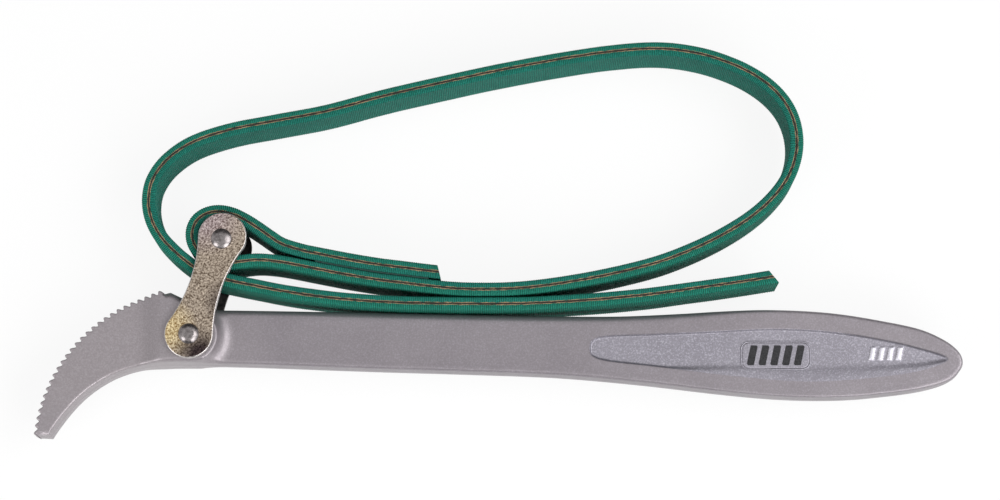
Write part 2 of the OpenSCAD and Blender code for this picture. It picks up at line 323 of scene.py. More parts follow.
class Shader:
    """A small helper that builds one node material."""

    def __init__(self, name, **sockets):
        self.mat = bpy.data.materials.new(name)
        self.mat.use_nodes = True
        self.tree = self.mat.node_tree
        self.bsdf = self.tree.nodes["Principled BSDF"]
        for key, value in sockets.items():
            self.bsdf.inputs[key.replace("_", " ")].default_value = value
        self.coords = self.node("ShaderNodeTexCoord")

    def node(self, kind, **props):
        n = self.tree.nodes.new(kind)
        for key, value in props.items():
            setattr(n, key, value)
        return n

    def link(self, a, b):
        self.tree.links.new(a, b)

    def noise(self, size_mm, detail=3.0, rough=0.55, space="Object", stretch=(1, 1, 1)):
        """Noise value whose features are about size_mm across."""
        scale = self.node("ShaderNodeMapping")
        scale.inputs["Scale"].default_value = [s * 1000 / size_mm for s in stretch]
        self.link(self.coords.outputs[space], scale.inputs["Vector"])
        n = self.node("ShaderNodeTexNoise")
        n.inputs["Scale"].default_value = 1
        n.inputs["Detail"].default_value = detail
        n.inputs["Roughness"].default_value = rough
        self.link(scale.outputs["Vector"], n.inputs["Vector"])
        return n.outputs["Fac"]

    def spread(self, value, low, high, new_low=0.0, new_high=1.0):
        """The value's stretch from low to high laid over new_low to new_high."""
        n = self.node("ShaderNodeMapRange")
        for key, v in zip(("From Min", "From Max", "To Min", "To Max"),
                          (low, high, new_low, new_high)):
            n.inputs[key].default_value = v
        self.link(value, n.inputs["Value"])
        return n.outputs["Result"]

    def mix(self, factor, a, b, blend="MIX"):
        """Colour a mixed towards b; each is a colour or an output."""
        n = self.node("ShaderNodeMix", data_type="RGBA", blend_type=blend)
        for socket, value in ((n.inputs[0], factor), (n.inputs[6], a), (n.inputs[7], b)):
            if isinstance(value, bpy.types.NodeSocket):
                self.link(value, socket)
            else:
                socket.default_value = value
        return n.outputs[2]

    def math(self, op, a, b=0.0):
        n = self.node("ShaderNodeMath", operation=op)
        for socket, value in ((n.inputs[0], a), (n.inputs[1], b)):
            if isinstance(value, bpy.types.NodeSocket):
                self.link(value, socket)
            else:
                socket.default_value = value
        return n.outputs[0]

    def bump(self, height, depth_mm, strength=1.0, under=None):
        n = self.node("ShaderNodeBump")
        n.inputs["Strength"].default_value = strength
        n.inputs["Distance"].default_value = depth_mm * MM
        self.link(height, n.inputs["Height"])
        if under is not None:
            self.link(under, n.inputs["Normal"])
        return n.outputs["Normal"]

    def to(self, socket, value):
        self.link(value, self.bsdf.inputs[socket])


def near_place(m, place, reach):
    """1 close to a place of the object, in millimetres, falling to 0 at reach."""
    gap = m.node("ShaderNodeVectorMath", operation="DISTANCE")
    m.link(m.coords.outputs["Object"], gap.inputs[0])
    gap.inputs[1].default_value = [v * MM for v in place]
    return m.spread(gap.outputs["Value"], 0.3 * reach * MM, reach * MM, 1, 0)


def forged_steel(name, low, high, flake_depth, painted_glint):
    """Satin silver coat over a forging: faint clouds, metallic flakes with painted sparkle, orange
    peel, a painted-light patch round the jaw and painted shade along the panel's edge.
    """
    m = Shader(name, Metallic=0.6, Specular_IOR_Level=0.5)
    cloud = m.noise(22, 3)
    flake = m.noise(0.55, 3, 0.75)
    tone = m.mix(m.spread(cloud, 0.3, 0.7), low, high)
    # Painted light: the jaw and its end of the head are coloured lighter, as if lit more brightly.
    tone = m.mix(near_place(m, JAW_PAINTED_LIGHT_MIDDLE, 60), tone, srgb(155, 148, 151))
    tone = m.mix(m.spread(flake, 0.3, 0.6, 0.3, 0), tone, srgb(112, 106, 111))
    # Painted sparkle: the brightest flakes are coloured near-white, standing for points of reflected
    # light.
    tone = m.mix(m.spread(flake, 0.5, 0.72, 0, painted_glint), tone, srgb(216, 214, 226))
    # Painted shade: the panel's edge is darkened by the vertex attribute made in colour_handle.
    panel_edge_shade = m.node("ShaderNodeAttribute", attribute_name="panel_edge_shade")
    tone = m.mix(m.math("MULTIPLY", panel_edge_shade.outputs["Fac"], 0.75), tone, srgb(58, 55, 60))
    m.to("Base Color", tone)
    m.to("Roughness", m.spread(m.noise(3, 3), 0.3, 0.7, 0.38, 0.46))
    peel = m.bump(m.noise(2.2, 3), 0.04, 0.5)
    m.to("Normal", m.bump(flake, flake_depth, 0.7, peel))
    return m.mat


def plated_steel():
    """Rough zinc plating: warm grey, pink by the eye, with yellowish and dark painted reflections on
    the pivot's two sides.
    """
    m = Shader("rough_zinc_plate", Metallic=0.9)
    speck = m.noise(0.6, 2, 0.7)
    grit = m.spread(speck, 0.36, 0.66)
    tone = m.mix(grit, srgb(90, 74, 60), srgb(212, 196, 178))
    # Colours for painted reflections, yellowish and dark, speckled like the plating.
    painted_gold_reflection = m.mix(grit, srgb(140, 108, 60), srgb(255, 236, 190))
    dark = m.mix(grit, srgb(18, 12, 14), srgb(84, 70, 70))
    pink = m.mix(grit, srgb(108, 88, 88), srgb(216, 200, 198))
    tone = m.mix(near_place(m, (5, 38, 26), 13), tone, pink)
    # Painted reflections: a yellowish patch on one side of the pivot and dark patches on the other,
    # standing for the room's light and dark mirrored in the plates.
    tone = m.mix(near_place(m, (-7, 2, 26), 10), tone, painted_gold_reflection)
    tone = m.mix(near_place(m, (4, -7, 26), 9.5), tone, dark)
    tone = m.mix(near_place(m, (13, 10, 26), 9), tone, dark)
    m.to("Base Color", tone)
    m.to("Roughness", m.spread(m.noise(0.9, 3), 0.3, 0.7, 0.24, 0.42))
    coarse = m.bump(m.noise(1.1, 3, 0.65), 0.16, 0.9)
    m.to("Normal", m.bump(speck, 0.12, 1.0, coarse))
    return m.mat


def inner_plate_painted_shade_steel():
    """The link plates' inner faces: painted shade, dark all over as they lie in the shade between
    the plates, with lighter worn patches.
    """
    m = Shader("inner_plate_painted_shade", Metallic=0.7)
    wear = m.noise(2.4, 4, 0.65)
    m.to("Base Color", m.mix(m.spread(wear, 0.35, 0.75), srgb(38, 36, 38), srgb(96, 90, 86)))
    m.to("Roughness", m.spread(wear, 0.3, 0.7, 0.55, 0.4))
    m.to("Normal", m.bump(m.noise(0.8, 3), 0.06, 0.8))
    return m.mat


def rim_steel():
    """The link plates' smooth punched rims, painted brighter than their rough faces as a highlight
    along the edges.
    """
    m = Shader("plate_rim_painted_highlight", Metallic=0.9)
    wear = m.noise(1.2, 3, 0.6)
    # Painted highlight: the rim is coloured lighter than the faces.
    m.to("Base Color", m.mix(m.spread(wear, 0.3, 0.7), srgb(166, 160, 158), srgb(208, 203, 202)))
    m.to("Roughness", m.spread(wear, 0.3, 0.7, 0.22, 0.36))
    m.to("Normal", m.bump(m.noise(0.7, 2), 0.02, 0.6))
    return m.mat


def rivet_steel(name="worn_rivet", low=srgb(104, 98, 98), high=srgb(160, 154, 154)):
    m = Shader(name, Metallic=0.95)
    wear = m.noise(1.1, 4, 0.6)
    m.to("Base Color", m.mix(m.spread(wear, 0.3, 0.7), low, high))
    m.to("Roughness", m.spread(wear, 0.3, 0.7, 0.2, 0.36))
    m.to("Normal", m.bump(m.noise(0.8, 3), 0.04, 0.6))
    return m.mat


def webbing(name, base, light, dark):
    """Woven webbing: cross ribs along the strap's length, yarns across them and loose fibres;
    painted shade darkens the grooves and a painted highlight lightens the rib crests.
    """
    m = Shader(name, Roughness=0.8, Specular_IOR_Level=0.25)
    split = m.node("ShaderNodeSeparateXYZ")
    m.link(m.coords.outputs["UV"], split.inputs[0])
    along = split.outputs["X"]
    across = split.outputs["Y"]
    rib = m.math("SINE", m.math("MULTIPLY", along, 2 * math.pi / RIB_PITCH))
    yarn = m.math("SINE", m.math("MULTIPLY", across, 2 * math.pi / 0.42))
    weave = m.math("ADD", m.math("MULTIPLY", rib, 0.75), m.math("MULTIPLY", yarn, 0.25))
    fibre = m.noise(0.5, 4, 0.75)
    worn = m.noise(7, 3)
    # Painted shade: the rib and yarn grooves are coloured darker.
    tone = m.mix(m.spread(weave, -0.8, 0.4, 0.15, 1), dark, base)
    # Painted highlight: the rib crests are coloured lighter.
    tone = m.mix(m.spread(weave, 0.3, 1.0, 0, 0.5), tone, light)
    tone = m.mix(m.spread(fibre, 0.5, 0.75, 0, 0.5), tone, light)
    tone = m.mix(m.spread(fibre, 0.5, 0.3, 0, 0.35), tone, dark)
    tone = m.mix(m.spread(worn, 0.35, 0.7, 0, 0.2), tone, dark)
    m.to("Base Color", tone)
    fine = m.bump(fibre, 0.08, 0.8)
    m.to("Normal", m.bump(weave, 0.1, 0.9, fine))
    return m.mat


def yarn_material():
    m = Shader("tan_scrim_yarn", Roughness=0.85)
    twist = m.noise(0.4, 3, 0.6)
    m.to("Base Color", m.mix(m.spread(twist, 0.3, 0.7), srgb(96, 78, 54), srgb(176, 152, 116)))
    m.to("Normal", m.bump(twist, 0.05, 0.8))
    return m.mat


def core_material():
    m = Shader("dark_friction_core", Roughness=0.7)
    crumb = m.noise(0.4, 3, 0.6)
    m.to("Base Color", m.mix(m.spread(crumb, 0.3, 0.75), srgb(14, 9, 8), srgb(44, 26, 20)))
    m.to("Normal", m.bump(crumb, 0.05, 0.9))
    return m.mat


def bond_material():
    m = Shader("dark_green_bond_painted_shade", Roughness=0.8)
    crumb = m.noise(0.6, 3, 0.6)
    # Painted shade: the bond is coloured dark green for the shadow line between the plies.
    m.to("Base Color", m.mix(m.spread(crumb, 0.3, 0.7), srgb(8, 34, 32), srgb(22, 70, 62)))
    m.to("Normal", m.bump(crumb, 0.05, 0.8))
    return m.mat


def print_material():
    m = Shader("black_print", Roughness=0.6, Specular_IOR_Level=0.25)
    wear = m.noise(0.5, 3)
    m.to("Base Color", m.mix(m.spread(wear, 0.3, 0.8), srgb(30, 30, 32), srgb(58, 57, 60)))
    m.to("Normal", m.bump(wear, 0.01, 0.5))
    return m.mat


FORGED = forged_steel("satin_silver_coat", srgb(136, 130, 135), srgb(144, 138, 143), 0.03, 0.12)
PANEL = forged_steel("grainy_silver_coat", srgb(138, 135, 144), srgb(146, 143, 152), 0.1, 0.4)
# Coat for the raised bars' tops, coloured near-white.
BRIGHT_MARK_COAT = forged_steel("bright_mark_coat", srgb(214, 212, 220), srgb(232, 230, 238), 0.1, 0.5)
PLATED = plated_steel()
# Painted highlight for the plates' rims
RIM_PAINTED_HIGHLIGHT = rim_steel()
# Painted shade for the plates' inner faces
INNER = inner_plate_painted_shade_steel()
RIVET = rivet_steel()
SLEEVE = rivet_steel("turned_sleeve", srgb(90, 88, 86), srgb(150, 147, 144))
GREEN_OUTER = webbing("green_webbing_outer",
                      srgb(12, 114, 95), srgb(50, 152, 130), srgb(3, 60, 50))
GREEN_INNER = webbing("green_webbing_inner",
                      srgb(10, 110, 95), srgb(48, 148, 130), srgb(3, 58, 50))
YARN = yarn_material()
CORE = core_material()
BOND = bond_material()
PRINT = print_material()


# ---------------------------------------------------------------- handle
def teeth_outline():
    """The rounded teeth along the jaw, from the crown to the tip."""
    pitch = (TIP_ANGLE - CROWN_ANGLE) / TOOTH_COUNT
    out = []
    for i in range(TOOTH_COUNT):
        for share, drop in TOOTH_SHAPE:
            a = CROWN_ANGLE + (i + share) * pitch
            arm = JAW_R - drop * TOOTH_DEPTH
            out.append(JAW_CENTRE + arm * np.array([math.cos(a), math.sin(a)]))
    return np.array(out)


def handle_outline():
    """The handle's closed outline, counter-clockwise from the crown along the teeth."""
    body = respaced(smooth(BODY_POINTS, 8), 0.7)
    return np.vstack([teeth_outline(), [JAW_TIP_CORNER], body])


def edge_radius(p):
    """Radius of the forging's rounded edge near each point."""
    upper = 2.6 - 1.4 * ease((p[:, 0] - 150) / 40)
    lower = 0.8 + 0.4 * ease((p[:, 0] + 25) / 30) - 0.4 * ease((p[:, 0] - 150) / 40)
    lower += 0.8 * np.exp(-(p[:, 0] / 9) ** 2)
    radius = np.where(p[:, 1] > -3, upper, lower)
    arm = np.hypot(p[:, 0] - JAW_CENTRE[0], p[:, 1] - JAW_CENTRE[1])
    angle = np.degrees(np.arctan2(p[:, 1] - JAW_CENTRE[1], p[:, 0] - JAW_CENTRE[0])) % 360
    toothed = (arm > JAW_R - 5) & (angle > 102) & (angle < 178)
    end = ease((p[:, 0] - 225) / 15)
    radius = radius * (1 - end) + 1.1 * end
    return np.where(toothed, 0.4, radius)


def boss_share(p):
    """1 on the thick head, 0 on the thin shank, with the cove between them."""
    r = np.hypot(p[:, 0], p[:, 1])
    t = np.clip((r - HEAD_END_R) / COVE_W, 0, 1)
    cove = 1 - np.sin(np.arccos(np.clip(1 - t, 0, 1)))
    rounded = 0.09 * np.clip((r - HEAD_END_R + 0.6) / 0.6, 0, 1) ** 2 * (p[:, 0] > 0)
    return np.maximum(np.minimum(cove, 1 - rounded), 1 - ease(p[:, 0] / 1.5))


def panel_share(p, panel_ring):
    """0 outside the grip panel, 1 on its floor; the wall is softer along the lower right."""
    d = signed_distance(p, panel_ring)
    soft = ease((p[:, 0] - 150) / 30) * ease((-6.5 - p[:, 1]) / 5)
    width = 0.6 + 6.4 * soft
    return ease(d / width)


def panel_edge_shade_share(p, panel_ring):
    """1 along the panel's crisp edge, where shade is painted into the coat as a dark line, and 0
    elsewhere.
    """
    d = signed_distance(p, panel_ring)
    # The painted shade leaves out the soft lower right wall and, as worn, the sparkling lit middle
    # of the upper edge; deep makes it darkest at the right end.
    soft = ease((p[:, 0] - 146) / 22) * ease((-5 - p[:, 1]) / 4)
    worn = ease((p[:, 0] - 150) / 16) * (1 - ease((p[:, 0] - 206) / 8)) * (p[:, 1] > -3)
    deep = 0.6 + 0.4 * ease((p[:, 0] - 206) / 8)
    return np.exp(-((d - 0.05) / 0.2) ** 2) * (1 - soft) * (1 - worn) * deep


def mark_share(p):
    """1 on the tops of the raised bars near the grip's end, 0 off them."""
    share = np.zeros(len(p))
    for k in range(MARK_COUNT):
        lean = p - (MARK_POS + (MARK_PITCH * k, 0))
        lean[:, 0] -= MARK_LEAN * lean[:, 1]
        outside = np.max(np.abs(lean) - MARK_HALF, axis=1)
        share = np.maximum(share, ease(-outside / 0.4 + 0.5))
    return share


def handle_height(p, ring, panel_ring):
    """Half thickness of the handle at each point."""
    slope = ease((JAW_SLOPE_X - p[:, 0]) / JAW_SLOPE_L)
    head = HEAD_T / 2 - (HEAD_T - JAW_T) / 2 * slope
    half = SHANK_T / 2 + (head - SHANK_T / 2) * boss_share(p)
    half = half - PANEL_DEPTH * panel_share(p, panel_ring)
    half = half + MARK_H * mark_share(p)
    r = edge_radius(p)
    d = np.clip(signed_distance(p, ring), 0, None)
    inset = np.clip(r - d, 0, None)
    return half - (r - np.sqrt(np.clip(r * r - inset * inset, 0, None)))


def offset_points(ring, distances, sign=1):
    """Points at distances inside a closed ring, left out where another stretch is nearer."""
    inward = inward_normals(ring)[0] * sign
    out = []
    for d in distances:
        p = ring + inward * d
        gap = signed_distance(p, ring) * sign
        out.append(p[gap > d * 0.9])
    return np.vstack(out)


def grid_points(low, high, gap):
    rows = np.arange(low[1], high[1], gap * 0.866)
    return np.array([(x + (k % 2) * gap / 2, y) for k, y in enumerate(rows)
                     for x in np.arange(low[0], high[0], gap)])


def thinned(points, gap):
    """The points without any that lies closer than gap to one before it."""
    cells, kept = {}, []
    for p in points:
        key = (int(p[0] // gap), int(p[1] // gap))
        near = [q for i in (-1, 0, 1) for j in (-1, 0, 1)
                for q in cells.get((key[0] + i, key[1] + j), ())]
        if all((p[0] - q[0]) ** 2 + (p[1] - q[1]) ** 2 > gap * gap for q in near):
            cells.setdefault(key, []).append(p)
            kept.append(p)
    return np.array(kept)


def handle_points(ring, panel_ring):
    """Points inside the outline, closer together at the edges, the panel, the cove and the marks."""
    rims = offset_points(ring, [0.07, 0.18, 0.35, 0.6, 0.95, 1.35, 1.8, 2.3])
    walls = np.vstack([offset_points(panel_ring, [0.14, 0.3, 0.48, 0.68, 0.9, 1.6, 2.5, 3.4]),
                       panel_ring, offset_points(panel_ring, [0.14, 0.34], -1)])
    cove = np.array([(r * math.cos(a), r * math.sin(a))
                     for r in HEAD_END_R + COVE_W * COVE_ROWS
                     for a in np.radians(np.arange(-90, 90, 2.25))])
    step = grid_points((-0.6, 8.6), (2.4, 12.6), 0.25)
    step = step[np.hypot(step[:, 0], step[:, 1]) > HEAD_END_R + 0.1]
    marks = grid_points(*MARK_ZONE, 0.3)
    field = grid_points((-49, -33), (249, 15), 1.25)
    reach = np.hypot(field[:, 0], field[:, 1])
    in_cove = (field[:, 0] > -0.5) & (reach > COVE_ZONE[0]) & (reach < COVE_ZONE[1])
    zone_half = (MARK_ZONE[1] - MARK_ZONE[0]) / 2 + 0.3
    in_marks = np.all(np.abs(field - MARK_ZONE.mean(axis=0)) < zone_half, axis=1)
    near_wall = np.abs(signed_distance(field, panel_ring)) < 0.5
    field = field[~(in_cove | in_marks | near_wall)]
    extra = np.vstack([cove, step, marks])
    extra = extra[signed_distance(extra, ring) > 2.35]
    field = field[signed_distance(field, ring) > 2.6]
    return np.vstack([thinned(rims, 0.1), thinned(walls, 0.1), thinned(extra, 0.03), field])


def colour_handle(handle, panel_ring):
    """The painted shade along the panel's edge, and the panel's and the raised bars' own coats."""
    corners = np.array([tuple(v.co) for v in handle.data.vertices]) / MM
    # Painted shade along the panel's edge, on the two faces only, kept as a vertex attribute for the
    # coat's shader.
    panel_edge_shade = panel_edge_shade_share(corners[:, :2], panel_ring) * (np.abs(corners[:, 2] - MID_Z) > FACE_Z)
    handle.data.attributes.new("panel_edge_shade", "FLOAT", "POINT").data.foreach_set("value", panel_edge_shade)
    handle.data.materials.append(PANEL)
    handle.data.materials.append(BRIGHT_MARK_COAT)
    centres = face_centres(handle)
    in_panel = (signed_distance(centres[:, :2], panel_ring) > 0) \
        & (np.abs(centres[:, 2] - MID_Z) > FACE_Z)
    on_mark = in_panel & (mark_share(centres[:, :2]) > 0.12)
    handle.data.polygons.foreach_set("material_index", np.where(on_mark, 2, in_panel))


def make_handle():
    """The forging with its jaw, cove, panel and raised bars."""
    ring = handle_outline()
    panel_ring = respaced(smooth(PANEL_POINTS, 8, closed=True), 0.8, closed=True)
    bore_r = RIVET_R + RUN_CLEAR
    inner = handle_points(ring, panel_ring)
    inner = inner[np.hypot(inner[:, 0], inner[:, 1]) > bore_r + 0.3]

    def front(p):
        return MID_Z + handle_height(p, ring, panel_ring)

    def back(p):
        return MID_Z - handle_height(p, ring, panel_ring)

    handle = two_sided("handle_forging", ring, inner, front, back, FORGED, "handle_body",
                       ["handle"], holes=[circle((0, 0), bore_r, 48)],
                       wall_rows=[(0.15, 0.05), (0.46, 0.12), (0.49, 0.17), (0.51, 0.17),
                                  (0.54, 0.12), (0.85, 0.05)], smooth_angle=50)
    colour_handle(handle, panel_ring)


# ---------------------------------------------------------------- badge
def rounded_rectangle(length, height, corner, steps=8):
    out = []
    for sx, sy, start in ((1, 1, 0), (-1, 1, 90), (-1, -1, 180), (1, -1, 270)):
        centre = np.array([sx * (length / 2 - corner), sy * (height / 2 - corner)])
        out += [centre + corner * np.array([math.cos(a), math.sin(a)])
                for a in np.radians(np.linspace(start, start + 90, steps + 1))]
    return respaced(np.array(out), 0.35, closed=True)


def make_badge():
    """The badge's plate, with a groove round its rim and a printed line in it."""
    floor = MID_Z + SHANK_T / 2 - PANEL_DEPTH
    ring = rounded_rectangle(BADGE_L, BADGE_H, 2.6) + BADGE_POS
    inner = grid_points(BADGE_POS - [12, 6], BADGE_POS + [12, 6], 0.7)
    inner = inner[signed_distance(inner, ring) > 1.2]
    rims = offset_points(ring, [0.08, 0.2, 0.34, 0.5, 0.66, 0.8])

    def front(p):
        d = signed_distance(p, ring)
        groove = np.exp(-((d - 0.45) / 0.13) ** 2)
        rounded = 0.12 * (1 - ease(d / 0.15))
        return floor + BADGE_T - 0.18 * groove - rounded

    def back(p):
        return np.full(len(p), floor - 0.02)

    two_sided("badge_plate", ring, np.vstack([rims, inner]), front, back, PANEL,
              "handle_body", ["grip_badge"])
    line = rounded_rectangle(BADGE_L - 0.66, BADGE_H - 0.66, 2.3) + BADGE_POS
    line_in = rounded_rectangle(BADGE_L - 1.14, BADGE_H - 1.14, 2.05) + BADGE_POS
    groove_z = floor + BADGE_T - 0.12
    two_sided("badge_border_line", line, np.zeros((0, 2)),
              lambda p: np.full(len(p), groove_z), lambda p: np.full(len(p), groove_z - 0.1),
              PRINT, "handle_body", [], holes=[line_in])


def make_badge_mark():
    """Five plain slanted bars with clipped corners, printed on the badge."""
    top = MID_Z + SHANK_T / 2 - PANEL_DEPTH + BADGE_T + 0.06
    verts, faces = [], []
    bar_h, pitch = BADGE_H * 0.7, BADGE_L * 0.84 / BADGE_BARS
    half_w, half_h, lean, clip = pitch * 0.31, bar_h / 2, 0.22, 0.45
    outline = [(-half_w, -half_h + clip), (-half_w + clip, -half_h), (half_w, -half_h),
               (half_w, half_h - clip), (half_w - clip, half_h), (-half_w, half_h)]
    n = len(outline)
    for i in range(BADGE_BARS):
        x = BADGE_POS[0] + (i - (BADGE_BARS - 1) / 2) * pitch
        base = len(verts)
        for z in (top, top - 0.1):
            verts += [(x + u + lean * v, BADGE_POS[1] + v, z) for u, v in outline]
        faces.append(tuple(base + k for k in range(n)))
        faces.append(tuple(base + n + k for k in reversed(range(n))))
        faces += [(base + k, base + n + k, base + n + (k + 1) % n, base + (k + 1) % n)
                  for k in range(n)]
    add_mesh("badge_bars", verts, faces, PRINT, "handle_body", ["badge_mark"],
             smooth_angle=20)


# ---------------------------------------------------------------- link
def plate_outline():
    """Dog-bone outline along the link, counter-clockwise, with the pivot end at the origin."""
    length = LINK_L + PLATE_OVER
    waist_r = ((length / 2) ** 2 + PLATE_WAIST ** 2 / 4 - PLATE_END_R ** 2) \
        / (2 * PLATE_END_R - PLATE_WAIST)
    waist_y = PLATE_WAIST / 2 + waist_r
    span = math.atan2(length / 2, waist_y)
    top = [(length / 2 + waist_r * math.sin(a), waist_y - waist_r * math.cos(a))
           for a in np.linspace(span, -span, 30)]
    left = [(PLATE_END_R * math.cos(a), PLATE_END_R * math.sin(a))
            for a in np.linspace(math.pi / 2 - span, 1.5 * math.pi + span, 60)[1:-1]]
    bottom = [(x, -y) for x, y in reversed(top)]
    right = [(length + PLATE_END_R * math.cos(a), PLATE_END_R * math.sin(a))
             for a in np.linspace(-math.pi / 2 - span, math.pi / 2 + span, 60)[1:-1]]
    ring = respaced(np.array(top + left + bottom + right), 0.45, closed=True)
    turn = np.array([[math.cos(LINK_ANGLE), -math.sin(LINK_ANGLE)],
                     [math.sin(LINK_ANGLE), math.cos(LINK_ANGLE)]])
    return ring @ turn.T


def pebble(p, size, seed):
    """Smooth random height, about -1 to 1, at each point of the plane."""
    return np.array([noise.noise(Vector((x / size, y / size, seed))) for x, y in p])


def make_plate(name, node, side):
    """One pebbled plate; side is 1 for the front plate and -1 for the rear one."""
    ring = plate_outline()
    inner = grid_points((-12, -12), (24, 42), 0.42)
    inner = inner[signed_distance(inner, ring) > 0.75]
    rims = offset_points(ring, [0.05, 0.13, 0.25, 0.4, 0.58])
    holes = [circle(c, RIVET_R, 40) for c in (np.zeros(2), EYE)]
    inner = np.vstack([thinned(rims, 0.1), inner])
    for c in (np.zeros(2), EYE):
        inner = inner[np.hypot(inner[:, 0] - c[0], inner[:, 1] - c[1]) > RIVET_R + 0.2]
    outer_z = MID_Z + side * (PLATE_GAP / 2 + PLATE_T)
    inner_z = MID_Z + side * PLATE_GAP / 2

    def outside(p):
        depth = signed_distance(p, ring)
        d = np.clip(depth, 0, 0.45)
        edge = 0.45 - np.sqrt(np.clip(0.45 ** 2 - (0.45 - d) ** 2, 0, None))
        rough = 0.05 * pebble(p, 0.9, 3.1 + side) + 0.04 * pebble(p, 6, 7.7 + side)
        return outer_z - side * (edge + 0.08 - rough * ease((depth - 0.35) / 0.5))

    def inside(p):
        d = np.clip(signed_distance(p, ring), 0, 0.2)
        edge = 0.2 - np.sqrt(np.clip(0.04 - (0.2 - d) ** 2, 0, None))
        return inner_z + side * edge

    front, back = (outside, inside) if side > 0 else (inside, outside)
    plate = two_sided(name, ring, inner, front, back, PLATED, "link", [node],
                      holes=holes, wall_rows=[(0.5, 0.04)], smooth_angle=55)
    plate.data.materials.append(RIM_PAINTED_HIGHLIGHT)
    plate.data.materials.append(INNER)
    centres = face_centres(plate)
    at_rim = np.abs(signed_distance(centres[:, :2], ring)) < 0.34
    # Faces on a plate's inner side take the dark painted-shade material, and faces at the rim take
    # the painted highlight.
    in_painted_shade = side * (centres[:, 2] - inner_z) < 0.3
    plate.data.polygons.foreach_set("material_index", np.where(in_painted_shade, 2, at_rim))


def make_rivet(name, node, centre, flat_r):
    """A peened rivet: a shaft and two domed heads, whose flat tops are slightly dished."""
    stack = PLATE_GAP / 2 + PLATE_T
    top = stack + RIVET_HEAD_H
    half = [(RIVET_R, stack - 0.02), (RIVET_HEAD_R - 0.12, stack - 0.02),
            (RIVET_HEAD_R, stack + 0.1), (RIVET_HEAD_R - 0.04, stack + 0.2)]
    for k in range(7):
        share = k / 6
        bulge = 0.08 * math.sin(math.pi * share)
        half.append((RIVET_HEAD_R - 0.14 + (flat_r + 0.22 - RIVET_HEAD_R) * share + bulge,
                     stack + 0.3 + (RIVET_HEAD_H - 0.34) * share + bulge))
    half += [(flat_r - 0.05, top), (flat_r * 0.7, top - 0.04), (flat_r * 0.3, top - 0.09),
             (0, top - 0.1)]
    lower = [(r, MID_Z - z) for r, z in reversed(half)]
    upper = [(r, MID_Z + z) for r, z in half]
    lathe(name, lower + upper, centre, RIVET, "link", [node])


def make_sleeve():
    """The sleeve on the eye rivet, with broken edges."""
    half, bore = SLEEVE_L / 2, RIVET_R + RUN_CLEAR
    profile = [(bore, -half + 0.2), (bore + 0.2, -half), (SLEEVE_R - 0.4, -half),
               (SLEEVE_R - 0.1, -half + 0.1), (SLEEVE_R, -half + 0.4), (SLEEVE_R, half - 0.4),
               (SLEEVE_R - 0.1, half - 0.1), (SLEEVE_R - 0.4, half), (bore + 0.2, half),
               (bore, half - 0.2)]
    profile = [(r, MID_Z + z) for r, z in profile]
    lathe("turned_sleeve", profile, EYE, SLEEVE, "sleeve", ["eye_sleeve"],
          sides=64)


# ---------------------------------------------------------------- strap
def strap_route():
    """The strap's centre line from its short end, round the eye and the loop, to its free end."""
    loop = smooth(LOOP_POINTS, LOOP_STEPS)
    normal = left_of(headings(loop))
    doubled = int(DOUBLED_SPANS * LOOP_STEPS)
    short = (loop[:doubled + 1] + (STRAP_T + BOND_T) * normal[:doubled + 1])[::-1]
    half = LOOP_STEPS // 2
    controls = [short[-1 - half], short[-1]] + list(EYE_POINTS) + [loop[0], loop[half]]
    eye = smooth(controls, LOOP_STEPS)[LOOP_STEPS:-LOOP_STEPS]
    line = np.vstack([short[:-1], eye[:-1], loop])
    return respaced(line, RIB_PITCH / 2)


def lengths(p):
    """Length along an open line, from its start to each of its points."""
    return np.r_[0, np.cumsum(np.linalg.norm(np.diff(p, axis=0), axis=1))]


def wobble(s, size, seed):
    """Smooth random value, about -1 to 1, along the strap's length."""
    return np.array([noise.noise(Vector((v / size, seed, 0.37 * seed))) for v in s])


def sweep(name, route, section, material, replaces):
    """A closed strip along the route.

    section(s) gives, for the stations' lengths s, a list of (side offset, height) arrays round
    the strip's cross-section; offsets are to the left of the route."""
    t = headings(route)
    n = left_of(t)
    s = lengths(route)
    far_end = ease((s - (s[-1] - 5)) / 5)
    near_end = 1 - ease(s / 4)
    rings = []
    for offset, height in section(s):
        shift = near_end * (0.5 - offset / STRAP_T) * START_SLANT \
            - far_end * offset * END_SLANT / STRAP_T
        base = route + n * offset[:, None] + t * shift[:, None]
        rings.append(np.c_[base, MID_Z + height])
    rings = np.array(rings)
    around, along = rings.shape[:2]
    verts = rings.transpose(1, 0, 2).reshape(-1, 3)
    girth = np.r_[0, np.cumsum(np.linalg.norm(np.diff(rings[:, 0], axis=0), axis=1))]
    uv = np.stack([np.repeat(s, around), np.tile(girth, along)], axis=1)
    faces = []
    for i in range(along - 1):
        a, b = i * around, (i + 1) * around
        for k in range(around):
            j = (k + 1) % around
            faces.append((a + k, a + j, b + j, b + k))
    faces.append(tuple(reversed(range(around))))
    faces.append(tuple(range((along - 1) * around, along * around)))
    add_mesh(name, verts, faces, material, "strap", replaces, smooth_angle=0, uv=uv)


